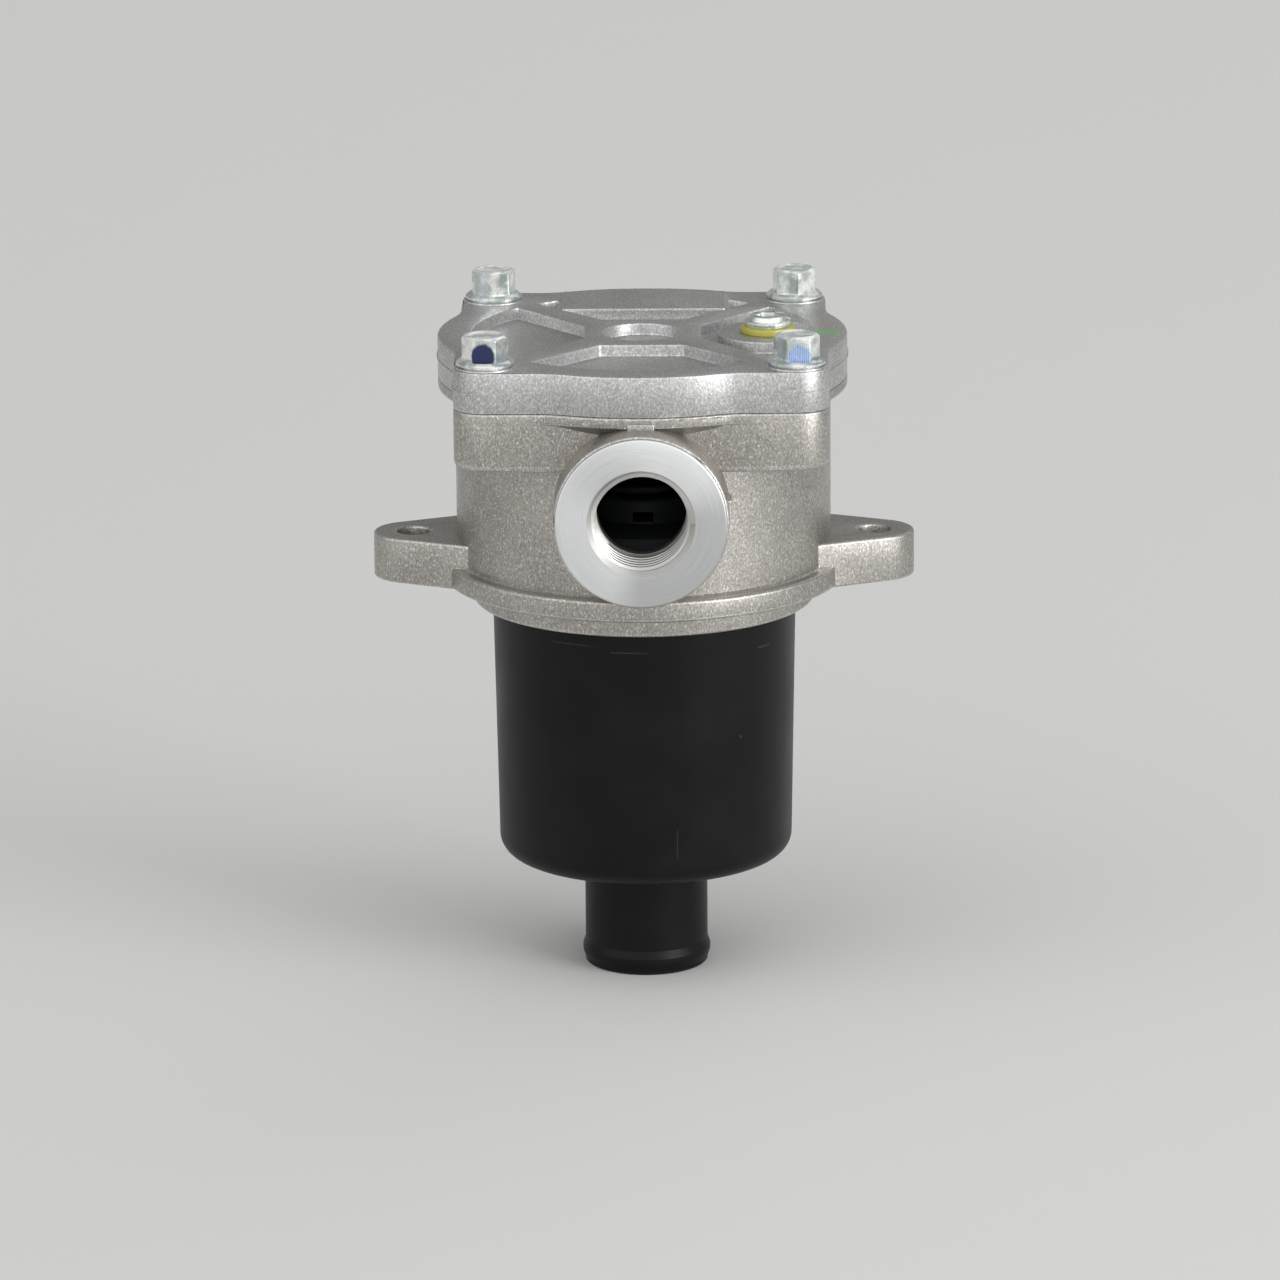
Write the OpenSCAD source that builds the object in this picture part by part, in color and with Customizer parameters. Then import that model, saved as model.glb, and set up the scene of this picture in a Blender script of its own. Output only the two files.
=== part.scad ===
// Tank-top hydraulic return filter. A cast head with two mounting ears and a
// side inlet carries a bolted cover, a moulded bowl with an outlet spigot, and a
// pleated element with a spring-loaded bypass valve. Millimetres, +Z up. The
// origin is the centre of the spigot's mouth, and the inlet faces -Y.

/* [Heights] */
// Length of the outlet spigot below the bowl
spigot_l = 29; // [22:1:45]
// Depth of the bowl's underside below the tank top
bowl_drop = 71.7; // [60:0.1:110]
// Height of the head from the tank top to the cover joint
head_h = 51.6; // [49:0.1:60]
// Thickness of the cover at its edge
cover_h = 10.2; // [9:0.1:14]

/* [Tank flange] */
// Distance from the round flange's edge to the centre of an ear hole
ear_reach = 7.5; // [6.5:0.1:14]
// Diameter of each ear hole
ear_hole_d = 8.4; // [5:0.1:11]
// Radius of an ear's round end
ear_end_r = 10; // [8:0.5:13]
// Thickness of the ears
ear_h = 11.3; // [8:0.1:14]
// Angle at which an ear's sides spread towards the body
ear_flare = 24; // [18:1:36]
// Width of the round flange outside the head's body
flange_w = 3.3; // [2:0.1:6]
// Thickness of the round flange
flange_h = 5.3; // [4:0.1:7]
// Wall of the skirt that drops into the tank
skirt_wall = 4.3; // [3:0.1:5]
// Depth of the skirt below the flange
skirt_h = 5.6; // [4:0.1:9]

/* [Head] */
// Wall of the head's body
head_wall = 3.7; // [3:0.1:5]
// Width of the rim under the cover, outside the body
rim_w = 4.2; // [3.4:0.1:6]
// Thickness of the rim's edge
rim_h = 2.8; // [2.6:0.1:4]
// Height of the flare that carries the rim
rim_flare_h = 2.6; // [1:0.1:4]
// Distance from the rim's edge to the axis of a cover bolt
bolt_reach = 2.84; // [2:0.02:4]
// Radius of the corners round the cover bolts
corner_r = 7.9; // [7.8:0.1:9.5]
// Height of the corner bosses below the cover joint
corner_h = 14.7; // [14:0.1:20]
// Radius of the blend between the rim and the square's sides
blend_r = 20; // [12:1:30]
// Height of the bowl's seat above the tank top
seat_rise = 3.5; // [2:0.1:6]
// Width of the bowl's seat
seat_w = 4.7; // [4.4:0.1:7]
// Size of the small chamfers on machined and cast edges
edge = 0.5; // [0.2:0.1:1]

/* [Inlet] */
// Height of the inlet's axis above the tank top
inlet_rise = 27.5; // [26:0.1:29]
// Length of the inlet boss outside the head's body
inlet_l = 13.3; // [11:0.1:28]
// Diameter of the machined inlet face
inlet_face_d = 42; // [36:0.5:43]
// Width that the cast boss adds round the machined face
inlet_cast_w = 0.5; // [0:0.1:1]
// Depth of the machined step at the face
inlet_step_h = 1.2; // [0.5:0.1:3]
// Minor diameter of the inlet thread
inlet_thread_d = 24.12; // [18:0.01:26]
// Depth of the inlet thread
inlet_thread_l = 14; // [10:0.5:15]
// Width of the chamfer at the mouth of the thread
inlet_chamfer = 1.15; // [0.5:0.05:2]
// Diameter of the passage behind the thread
inlet_bore_d = 22; // [16:0.5:24]
// Width of the web between the inlet boss and the rim
web_w = 6.6; // [4:0.2:10]

/* [Cover] */
// Width of the cover's edge outside the pockets
pocket_edge_w = 8.4; // [6:0.1:11]
// Depth of the pockets
pocket_h = 3; // [1:0.1:3.5]
// Half width of the hub that the pockets leave
hub_half = 14.6; // [13:0.1:16]
// Half width of the side pockets where they meet the hub
side_root = 7; // [3:0.5:10]
// Half width of the front and back pockets where they meet the hub
front_root = 10.3; // [5:0.1:12]
// Half angle that a side pocket spreads over at its outer wall
side_half_angle = 42; // [34:1:42]
// Half angle that the front and back pockets spread over at their outer wall
front_half_angle = 39; // [34:1:42]
// Distance from the pockets' outer wall to the front of the raised field
field_inset = 17.7; // [12:0.1:20]
// Width of the raised field
field_w = 41; // [30:1:44]
// Depth of the raised field
field_l = 20.5; // [12:0.5:21]
// Height of the raised field
field_h = 0.4; // [0.2:0.1:1]
// Diameter of the recess in the hub
recess_d = 19.5; // [12:0.5:22]
// Depth of the recess in the hub
recess_h = 3; // [1:0.1:3.5]
// Diameter of the raised pad under each bolt
pad_d = 15.2; // [14.6:0.1:15.4]
// Height of the raised pads
pad_h = 0.4; // [0.2:0.1:1]
// Distance from the pockets' outer wall to the axis of the gauge port
gauge_inset = 11.3; // [10:0.1:12]
// Diameter of the boss round the gauge port
gauge_boss_d = 25; // [18:0.5:26]
// Wall round the gauge port under the cover
gauge_wall = 3.7; // [2:0.1:5]
// Depth of the hollow under the cover
hollow_h = 4; // [3:0.1:4.5]
// Wall between the hollow and the cover's seal
hollow_wall = 3; // [2:0.1:6]

/* [Fasteners] */
// Thread diameter of the cover bolts
bolt_d = 6; // [5:0.5:6.5]
// Length of a cover bolt under its flange
bolt_l = 20; // [16:1:20]
// Width across the flats of a bolt head
bolt_af = 10; // [8:0.5:10.5]
// Diameter of a bolt's flange
bolt_flange_d = 14.2; // [13:0.1:15]
// Height of a bolt head with its flange
bolt_head_h = 7.6; // [6:0.1:9]
// Thickness of a bolt's flange at its rim
bolt_flange_h = 1.2; // [0.8:0.1:2]
// Thread diameter of the gauge plug
plug_d = 9.6; // [7:0.1:10]
// Length of the gauge plug under its collar
plug_l = 8; // [6:0.5:9]
// Diameter of the plug's collar
plug_collar_d = 11.6; // [11:0.1:13]
// Thickness of the plug's collar
plug_collar_h = 1.4; // [1:0.1:3]
// Diameter of the plug's boss above its collar
plug_top_d = 9; // [8:0.1:10.5]
// Height of the plug's boss above its collar
plug_top_h = 1.2; // [0.5:0.1:3]
// Width across the flats of the plug's socket
plug_af = 5; // [4:0.5:6]
// Depth of the plug's socket
plug_socket_h = 4; // [2:0.5:5]
// Outer diameter of the plug's washer
washer_d = 13.6; // [13:0.1:16]
// Thickness of the plug's washer
washer_h = 1.6; // [1:0.1:2.5]

/* [Bowl] */
// Radial gap between the element's end caps and the bowl, above its bottom curve
element_gap = 3.3; // [2:0.1:6]
// Amount by which the bowl's radius grows towards its top
bowl_taper = 1.1; // [0:0.1:2]
// Wall of the bowl
bowl_wall = 2.5; // [2:0.1:2.8]
// Radius of the bowl's bottom curve
bowl_curve_r = 5; // [4:0.1:8]
// Height of the bowl's flange
bowl_flange_h = 5; // [4.5:0.1:7]
// Outer diameter of the spigot
spigot_d = 30.9; // [30:0.1:36]
// Outer diameter of the spigot's hose bead
bead_d = 32.2; // [31:0.1:38]
// Height of the middle of the bead above the mouth
bead_z = 3.6; // [3.4:0.1:6]
// Width of the bead's crest
bead_w = 1.2; // [0.6:0.1:2]
// Length of the slope on each side of the bead's crest
bead_slope_l = 2; // [1:0.1:2]
// Diameter of the outlet bore
outlet_d = 24; // [18:0.1:24.5]
// Length of the outlet bore below the element's seat
outlet_l = 18; // [14:0.5:19]
// Diameter of the seat bore that takes the element's neck
neck_seat_d = 26; // [25:0.1:26.6]

/* [Element] */
// Outer diameter of the end caps
cap_d = 62; // [58:0.5:72]
// Thickness of the end caps' plates
cap_h = 2; // [1.5:0.1:3]
// Height of the end caps' rims
cap_rim_h = 7; // [5:0.5:12]
// Wall of the end caps' rims
cap_rim_w = 1; // [0.8:0.1:1.5]
// Height of the element's top above the tank top
cap_rise = 16.3; // [14:0.1:18]
// Number of pleats in the filter medium
pleats = 36; // [24:1:48]
// Radial depth of the pleated sheet's own thickness
pleat_skin = 5.2; // [4:0.1:7]
// Outer diameter of the perforated core
core_d = 33; // [32.8:0.1:36]
// Wall of the perforated core
core_wall = 0.8; // [0.6:0.1:1]
// Diameter of the core's holes
core_hole_d = 5; // [3:0.5:6]
// Number of holes in one row of the core
core_holes = 8; // [6:2:10]
// Number of rows of holes in the core
core_rows = 8; // [4:1:9]
// Length of the neck below the bottom cap
neck_l = 9.5; // [8:0.1:12]
// Bore of the neck
neck_bore_d = 17; // [12:0.5:18]

/* [Bypass valve] */
// Diameter of the turret on top of the element
turret_d = 30; // [29:0.5:34]
// Height of the turret
turret_h = 6; // [5:0.1:7]
// Wall of the turret
turret_wall = 2; // [1.5:0.1:2.5]
// Thickness of the turret's lid
lid_h = 1.5; // [1:0.1:2]
// Depth of the recess in the lid that holds the hold-down spring
spring_seat_h = 1; // [0.5:0.1:1.2]
// Number of windows round the turret
windows = 6; // [4:1:8]
// Width of each window
window_w = 5; // [3:0.5:7]
// Outer diameter of the tube that passes through the top cap
throat_d = 26; // [25:0.1:26.4]
// Bore of that tube
throat_bore_d = 19; // [16:0.5:20]
// Length of that tube below the top cap's upper face
throat_l = 5; // [4:0.1:7]
// Distance that the poppet opens
lift = 4; // [2:0.1:5]
// Distance from the edge of the throat to the edge of the poppet
poppet_inset = 0.8; // [0.3:0.1:1.5]
// Thickness of the poppet's plate
poppet_h = 1.5; // [1:0.1:2.5]
// Thickness of the poppet's rubber face
face_h = 1.5; // [1:0.1:2.5]
// Diameter of the poppet's stem
stem_d = 4; // [3:0.1:4.6]
// Diameter of the stem's rivet head
rivet_d = 7.2; // [6.5:0.1:9]
// Outer diameter of the bypass spring
bypass_coil_d = 13; // [11:0.5:15]
// Wire of the bypass spring
bypass_wire_d = 1.2; // [0.8:0.1:1.4]
// Number of turns in the bypass spring
bypass_turns = 6; // [4:0.5:6]
// Length of the bypass spring with the valve shut
bypass_spring_l = 13.5; // [13:0.1:20]
// Thickness of the cage's bottom
cage_h = 1.5; // [1:0.1:2.5]
// Number of legs of the cage
cage_legs = 3; // [2:1:5]
// Width of a leg of the cage
leg_w = 4; // [2:0.5:6]

/* [Hold-down spring] */
// Outer diameter of the hold-down spring
hold_coil_d = 21; // [19:0.5:24]
// Wire of the hold-down spring
hold_wire_d = 1.8; // [1:0.1:2]
// Number of turns in the hold-down spring
hold_turns = 6; // [4:0.5:8]
// Length of the guide under the cover that centres the hold-down spring
guide_l = 8; // [5:0.5:12]

/* [Seals and clearances] */
// Section of the cover's seal
cover_seal_d = 2.4; // [2:0.1:2.5]
// Section of the bowl's seal
bowl_seal_d = 2.4; // [2:0.1:2.8]
// Section of the element's neck seal
neck_seal_d = 2; // [1.6:0.1:2.2]
// Radial gap between the skirt and the bowl
bowl_gap = 0.4; // [0.2:0.1:1]
// Gap round pieces that are pushed together
fit_gap = 0.1; // [0.05:0.05:0.2]
// Gap round pieces that slide in by hand
slide_gap = 0.2; // [0.15:0.05:0.3]
// Gap round pieces that drop in loosely
loose_gap = 0.3; // [0.2:0.05:0.4]
// Gap that a seal keeps from the walls of its groove
seal_gap = 0.05; // [0.02:0.01:0.1]
// Radial running clearance of the stem in its guide
run_gap = 0.06; // [0.03:0.01:0.09]

/* [Hidden] */
$fn = 96;

// A cut runs this far past the faces it opens
over = 1;
// Outlines that would only touch overlap by this much
hair = 0.01;
// Ears and the inlet boss start inside the wall, at this share of the chamber's radius
root_share = 0.8;
// A seal's groove is this many times as wide as the seal's section
groove_share = 1.25;
// Step between the points of a moulded curve
arc_step = 10;
// Slope of the flange on a bolt head
bolt_slope = 25;
// Sides of a spring's wire, and steps in one turn of it
wire_sides = 8;
turn_steps = 20;

// Levels, counted from the spigot's mouth
z_bowl = spigot_l;
z_tank = z_bowl + bowl_drop;
z_skirt = z_tank - skirt_h;
z_flange = z_tank + flange_h;
z_ear = z_tank + ear_h;
z_seat = z_tank + seat_rise;
z_inlet = z_tank + inlet_rise;
z_joint = z_tank + head_h;
z_rim = z_joint - rim_h;
z_corner = z_joint - corner_h;
z_cover = z_joint + cover_h;
z_pad = z_cover + pad_h;
z_ceiling = z_joint + hollow_h;
z_floor = z_bowl + bowl_wall;
z_cap = z_tank + cap_rise;
z_pleat_low = z_floor + cap_h;
z_pleat_top = z_cap - cap_h;
z_turret = z_cap + turret_h;
z_valve = z_cap - throat_l;
z_plate = z_valve - face_h - poppet_h;
z_cage = z_plate - bypass_spring_l;

// Radii, counted outwards from the element through the bowl to the head
cap_r = cap_d / 2;
bowl_low_r = cap_r + element_gap + bowl_wall;
bowl_top_r = bowl_low_r + bowl_taper;
skirt_bore_r = bowl_top_r + bowl_gap;
skirt_r = skirt_bore_r + skirt_wall;
chamber_r = skirt_bore_r + seat_w;
body_r = chamber_r + head_wall;
rim_r = body_r + rim_w;
flange_r = body_r + flange_w;
pocket_r = rim_r - pocket_edge_w;
field_y = pocket_r - field_inset;
gauge_x = pocket_r - gauge_inset;
ear_at = flange_r + ear_reach;
inlet_reach = body_r + inlet_l;
bolt_at = (rim_r + bolt_reach) / sqrt(2);
square_half = bolt_at + corner_r;
core_r = core_d / 2;
throat_r = throat_d / 2;
cage_r = core_r - core_wall - slide_gap;
poppet_r = throat_r - poppet_inset;
bolt_places = [for (x = [-1, 1], y = [-1, 1]) [x * bolt_at, y * bolt_at]];

// The cover's seal lies in a groove in the head's top face
cover_groove_w = cover_seal_d * groove_share;
cover_groove_r = chamber_r + (rim_r - chamber_r) / 2;
cover_groove_h = cover_seal_d + seal_gap;

// The bowl's flange and its seal groove
bowl_flange_r = chamber_r - loose_gap;
bowl_groove_r = chamber_r - bowl_seal_d - 2 * seal_gap;
bowl_groove_w = bowl_seal_d * groove_share;
bowl_groove_z = z_seat + bowl_flange_h / 2;

// The neck of the element and its seal groove
neck_r = neck_seat_d / 2 - slide_gap;
neck_groove_r = neck_seat_d / 2 - neck_seal_d - 2 * seal_gap;
neck_groove_w = neck_seal_d * groove_share;
neck_groove_z = z_floor - neck_l / 2;
z_neck_seat = outlet_l;

// Outline of the square with round corners, centred on the axis
module rounded_square() {
    square([2 * square_half, 2 * bolt_at], center = true);
    square([2 * bolt_at, 2 * square_half], center = true);
    for (p = bolt_places) translate(p) circle(r = corner_r);
}

// Hollow blend between the round rim and one side of the square, at +X +Y
module rim_blend() {
    centre_y = square_half + blend_r;
    centre_x = sqrt(pow(rim_r + blend_r, 2) - pow(centre_y, 2));
    touch = rim_r / (rim_r + blend_r);
    difference() {
        polygon([
            [centre_x, square_half - over],
            [centre_x, centre_y],
            [centre_x * touch, centre_y * touch],
            [centre_x * touch, square_half - over]
        ]);
        translate([centre_x, centre_y]) circle(r = blend_r);
    }
}

// Outline that the cover and the head's rim share
module cover_outline() {
    rounded_square();
    circle(r = rim_r);
    for (turn = [0 : 90 : 270], flip = [0, 1])
        rotate(turn) mirror([flip, 0]) rim_blend();
}

// One ear at +X: a round end with straight sides that spread to the body. The
// sides start a hair inside the round end, so that they cross its edge cleanly
module ear_outline() {
    touch_x = ear_at + (ear_end_r - hair) * sin(ear_flare);
    touch_y = (ear_end_r - hair) * cos(ear_flare);
    root_x = chamber_r * root_share;
    root_y = touch_y + (touch_x - root_x) * tan(ear_flare);
    translate([ear_at, 0]) circle(r = ear_end_r);
    polygon([[touch_x, touch_y], [root_x, root_y], [root_x, -root_y], [touch_x, -touch_y]]);
}

// Body, round flange and skirt of the head, with the chamber and the bowl's seat
module head_shell() {
    rotate_extrude() polygon([
        [skirt_bore_r, z_skirt],
        [skirt_r - edge, z_skirt],
        [skirt_r, z_skirt + edge],
        [skirt_r, z_tank],
        [flange_r - edge, z_tank],
        [flange_r, z_tank + edge],
        [flange_r, z_flange - edge],
        [flange_r - edge, z_flange],
        [body_r + edge, z_flange],
        [body_r, z_flange + edge],
        [body_r, z_rim - rim_flare_h],
        [rim_r - edge, z_rim],
        [rim_r - edge, z_rim + edge],
        [chamber_r, z_rim + edge],
        [chamber_r, z_seat],
        [skirt_bore_r, z_seat]
    ]);
}

// Cast boss of the inlet, with its machined face at -Y
module inlet_boss() {
    translate([0, 0, z_inlet]) rotate([90, 0, 0]) {
        translate([0, 0, chamber_r * root_share])
            cylinder(r = inlet_face_d / 2 + inlet_cast_w,
                h = inlet_reach - inlet_step_h - chamber_r * root_share);
        cylinder(r = inlet_face_d / 2, h = inlet_reach);
    }
    translate([-web_w / 2, -rim_r - edge, z_inlet])
        cube([web_w, rim_r - body_r + 2 * edge, z_joint - rim_h / 2 - z_inlet]);
}

// Passages through the inlet boss, from the face inwards
module inlet_passage() {
    thread_r = inlet_thread_d / 2;
    bore_r = inlet_bore_d / 2;
    translate([0, -inlet_reach, z_inlet]) rotate([-90, 0, 0]) rotate_extrude() polygon([
        [0, -over],
        [thread_r + inlet_chamfer + over, -over],
        [thread_r, inlet_chamfer],
        [thread_r, inlet_thread_l],
        [bore_r, inlet_thread_l],
        [bore_r, inlet_reach - chamber_r * root_share],
        [0, inlet_reach - chamber_r * root_share]
    ]);
}

// Head: one casting
module head() color("#a8a49c") difference() {
    union() {
        head_shell();
        translate([0, 0, z_rim]) linear_extrude(rim_h) cover_outline();
        translate([0, 0, z_corner]) linear_extrude(corner_h - rim_h / 2) rounded_square();
        for (side = [0, 1]) mirror([side, 0, 0])
            translate([0, 0, z_tank]) linear_extrude(ear_h) ear_outline();
        inlet_boss();
    }
    translate([0, 0, z_seat]) cylinder(r = chamber_r, h = head_h);
    translate([0, 0, z_skirt - over]) cylinder(r = skirt_bore_r, h = head_h);
    inlet_passage();
    for (x = [-1, 1]) translate([x * ear_at, 0, z_tank - over])
        cylinder(d = ear_hole_d, h = ear_h + 2 * over);
    for (p = bolt_places) translate([p[0], p[1], z_pad - bolt_l - over])
        cylinder(r = bolt_d / 2 + fit_gap, h = bolt_l);
    translate([0, 0, z_joint - cover_groove_h]) difference() {
        cylinder(r = cover_groove_r + cover_groove_w / 2, h = cover_groove_h + over);
        translate([0, 0, -over])
            cylinder(r = cover_groove_r - cover_groove_w / 2, h = cover_groove_h + 3 * over);
    }
}

// Wedge-shaped pocket outline that opens towards +X from the hub
module pocket_outline(root, half_angle) {
    corner_x = pocket_r * cos(half_angle);
    corner_y = pocket_r * sin(half_angle);
    intersection() {
        circle(r = pocket_r);
        polygon([
            [hub_half, -root],
            [corner_x, -corner_y],
            [pocket_r + over, -corner_y],
            [pocket_r + over, corner_y],
            [corner_x, corner_y],
            [hub_half, root]
        ]);
    }
}

// The four pockets of the cover: one at each side, one in front, one behind
module cover_pockets() {
    rotate(180) pocket_outline(side_root, side_half_angle);
    difference() {
        pocket_outline(side_root, side_half_angle);
        translate([gauge_x, 0]) circle(d = gauge_boss_d);
    }
    rotate(-90) pocket_outline(front_root, front_half_angle);
    difference() {
        rotate(90) pocket_outline(front_root, front_half_angle);
        translate([-field_w / 2 - over, field_y]) square([field_w + 2 * over, pocket_r]);
    }
}

// Cover: one casting, hollow underneath, with a guide for the hold-down spring
module cover() color("#b3b4b5") difference() {
    union() {
        difference() {
            union() {
                translate([0, 0, z_joint]) linear_extrude(cover_h) cover_outline();
                translate([-field_w / 2, field_y, z_joint + pocket_h])
                    cube([field_w, field_l, cover_h - pocket_h + field_h]);
                for (p = bolt_places) translate([p[0], p[1], z_joint + pocket_h])
                    cylinder(d = pad_d, h = cover_h - pocket_h + pad_h);
            }
            translate([0, 0, z_cover - pocket_h]) linear_extrude(pocket_h + over)
                cover_pockets();
            translate([0, 0, z_joint - over])
                cylinder(r = chamber_r - hollow_wall, h = hollow_h + over);
        }
        translate([gauge_x, 0, z_joint])
            cylinder(d = plug_d + 2 * gauge_wall, h = hollow_h + over);
        translate([0, 0, z_ceiling - guide_l])
            cylinder(r = hold_coil_d / 2 - hold_wire_d - loose_gap, h = guide_l + over / 2);
    }
    translate([0, 0, z_cover - recess_h]) cylinder(d = recess_d, h = recess_h + over);
    translate([gauge_x, 0, z_joint - over])
        cylinder(r = plug_d / 2 + fit_gap, h = cover_h + 2 * over);
    for (p = bolt_places) translate([p[0], p[1], z_joint - over])
        cylinder(r = bolt_d / 2 + loose_gap, h = cover_h + 3 * over);
}

// One flange bolt, seated at z = 0 with its shank downwards
module flange_bolt() {
    across_corners = bolt_af / cos(30);
    slope_top = bolt_flange_h + (bolt_flange_d - bolt_af) / 2 * tan(bolt_slope);
    intersection() {
        rotate(30) cylinder(d = across_corners, h = bolt_head_h, $fn = 6);
        cylinder(r1 = bolt_head_h + bolt_af / 2 - bolt_flange_h, r2 = bolt_af / 2 - bolt_flange_h,
            h = bolt_head_h);
    }
    rotate_extrude() polygon([
        [0, 0],
        [bolt_flange_d / 2, 0],
        [bolt_flange_d / 2, bolt_flange_h],
        [bolt_af / 2, slope_top],
        [0, slope_top]
    ]);
    translate([0, 0, edge - bolt_l]) cylinder(d = bolt_d, h = bolt_l);
    translate([0, 0, -bolt_l]) cylinder(d1 = bolt_d - 2 * edge, d2 = bolt_d, h = edge);
}

module cover_bolts() color("#c8d0cf")
    for (p = bolt_places) translate([p[0], p[1], z_pad]) flange_bolt();

module ring(mid_r, section_d, z) {
    translate([0, 0, z]) rotate_extrude() translate([mid_r, 0]) circle(d = section_d, $fn = 32);
}

module cover_seal() color("#26262a")
    ring(cover_groove_r, cover_seal_d, z_joint - cover_groove_h / 2);

// Washer under the gauge plug's collar
module plug_washer() color("#c9b52c") translate([gauge_x, 0, z_cover]) difference() {
    cylinder(d = washer_d, h = washer_h);
    translate([0, 0, -over]) cylinder(r = plug_d / 2 + fit_gap, h = washer_h + 2 * over);
}

// Gauge plug with a socket in its top
module gauge_plug() color("#c2c7c4") translate([gauge_x, 0, z_cover + washer_h]) difference() {
    union() {
        translate([0, 0, -plug_l]) cylinder(d = plug_d, h = plug_l + edge);
        cylinder(d = plug_collar_d, h = plug_collar_h);
        cylinder(d = plug_top_d, h = plug_collar_h + plug_top_h);
    }
    translate([0, 0, plug_collar_h + plug_top_h - plug_socket_h])
        cylinder(d = plug_af / cos(30), h = plug_socket_h + over, $fn = 6);
}

// Bowl: one moulding with a seal flange above and the outlet spigot below
module bowl() color("#1d1d20") difference() {
    spigot_r = spigot_d / 2;
    bead_r = bead_d / 2;
    inner_curve_r = max(bowl_curve_r - bowl_wall, edge);
    z_rim_top = z_seat + bowl_flange_h;
    rotate_extrude() polygon(concat(
        [[outlet_d / 2 + edge / 2, 0], [spigot_r - edge, 0], [spigot_r, edge]],
        [[spigot_r, bead_z - bead_w / 2 - bead_slope_l], [bead_r, bead_z - bead_w / 2]],
        [[bead_r, bead_z + bead_w / 2], [spigot_r, bead_z + bead_w / 2 + bead_slope_l]],
        [[spigot_r, z_bowl]],
        [for (a = [0 : arc_step : 90]) [
            bowl_low_r - bowl_curve_r + bowl_curve_r * sin(a),
            z_bowl + bowl_curve_r - bowl_curve_r * cos(a)]],
        [[bowl_top_r, z_skirt], [bowl_top_r, z_seat], [bowl_flange_r, z_seat]],
        [[bowl_flange_r, bowl_groove_z - bowl_groove_w / 2],
            [bowl_groove_r, bowl_groove_z - bowl_groove_w / 2],
            [bowl_groove_r, bowl_groove_z + bowl_groove_w / 2],
            [bowl_flange_r, bowl_groove_z + bowl_groove_w / 2]],
        [[bowl_flange_r, z_rim_top - edge], [bowl_flange_r - edge, z_rim_top]],
        [[bowl_top_r - bowl_wall + edge, z_rim_top], [bowl_top_r - bowl_wall, z_rim_top - edge]],
        [[bowl_top_r - bowl_wall, z_skirt]],
        [for (a = [90 : -arc_step : 0]) [
            bowl_low_r - bowl_wall - inner_curve_r + inner_curve_r * sin(a),
            z_floor + inner_curve_r - inner_curve_r * cos(a)]],
        [[neck_seat_d / 2, z_floor], [neck_seat_d / 2, z_neck_seat], [outlet_d / 2, z_neck_seat]],
        [[outlet_d / 2, edge / 2]]
    ));
}

module bowl_seal() color("#26262a")
    ring(chamber_r - seal_gap - bowl_seal_d / 2, bowl_seal_d, bowl_groove_z);

module neck_seal() color("#26262a")
    ring(neck_seat_d / 2 - seal_gap - neck_seal_d / 2, neck_seal_d, neck_groove_z);

// Top end cap: a plate with a hole for the valve and a rim round the pleats
module element_top_cap() color("#8d9093") rotate_extrude() polygon([
    [throat_r + fit_gap, z_pleat_top],
    [cap_r - cap_rim_w, z_pleat_top],
    [cap_r - cap_rim_w, z_cap - cap_rim_h],
    [cap_r, z_cap - cap_rim_h],
    [cap_r, z_cap - edge],
    [cap_r - edge, z_cap],
    [throat_r + fit_gap, z_cap]
]);

// Bottom end cap: a plate on the bowl's floor with a sealed neck below
module element_bottom_cap() color("#8d9093") rotate_extrude() polygon([
    [neck_bore_d / 2, z_floor - neck_l],
    [neck_r - edge, z_floor - neck_l],
    [neck_r, z_floor - neck_l + edge],
    [neck_r, neck_groove_z - neck_groove_w / 2],
    [neck_groove_r, neck_groove_z - neck_groove_w / 2],
    [neck_groove_r, neck_groove_z + neck_groove_w / 2],
    [neck_r, neck_groove_z + neck_groove_w / 2],
    [neck_r, z_floor],
    [cap_r, z_floor],
    [cap_r, z_floor + cap_rim_h],
    [cap_r - cap_rim_w, z_floor + cap_rim_h],
    [cap_r - cap_rim_w, z_pleat_low],
    [neck_bore_d / 2, z_pleat_low]
]);

// Star-shaped outline whose points lie on two circles in turn
module star(tip_r, root_r) {
    polygon([for (i = [0 : 2 * pleats - 1])
        let (r = i % 2 == 0 ? tip_r : root_r, a = i * 180 / pleats)
        [r * cos(a), r * sin(a)]]);
}

// Filter medium: one pleated sheet, closed into a ring
module element_media() color("#d9d3b8") {
    tip_r = cap_r - cap_rim_w - fit_gap;
    root_r = core_r + fit_gap;
    translate([0, 0, z_pleat_low]) linear_extrude(z_pleat_top - z_pleat_low) difference() {
        star(tip_r, root_r + pleat_skin);
        star(tip_r - pleat_skin, root_r);
    }
}

// Perforated tube that carries the pleats, with its rows of holes staggered
module element_core() color("#9a9da0") {
    core_l = z_pleat_top - z_pleat_low;
    row_pitch = core_l / (core_rows + 1);
    difference() {
        translate([0, 0, z_pleat_low]) cylinder(r = core_r, h = core_l);
        translate([0, 0, z_pleat_low - over])
            cylinder(r = core_r - core_wall, h = core_l + 2 * over);
        for (row = [1 : core_rows], k = [0 : core_holes / 2 - 1])
            translate([0, 0, z_pleat_low + row * row_pitch])
                rotate([90, 0, (k + (row % 2) / 2) * 360 / core_holes])
                    cylinder(d = core_hole_d, h = core_d + 2 * over, center = true);
    }
}

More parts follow.
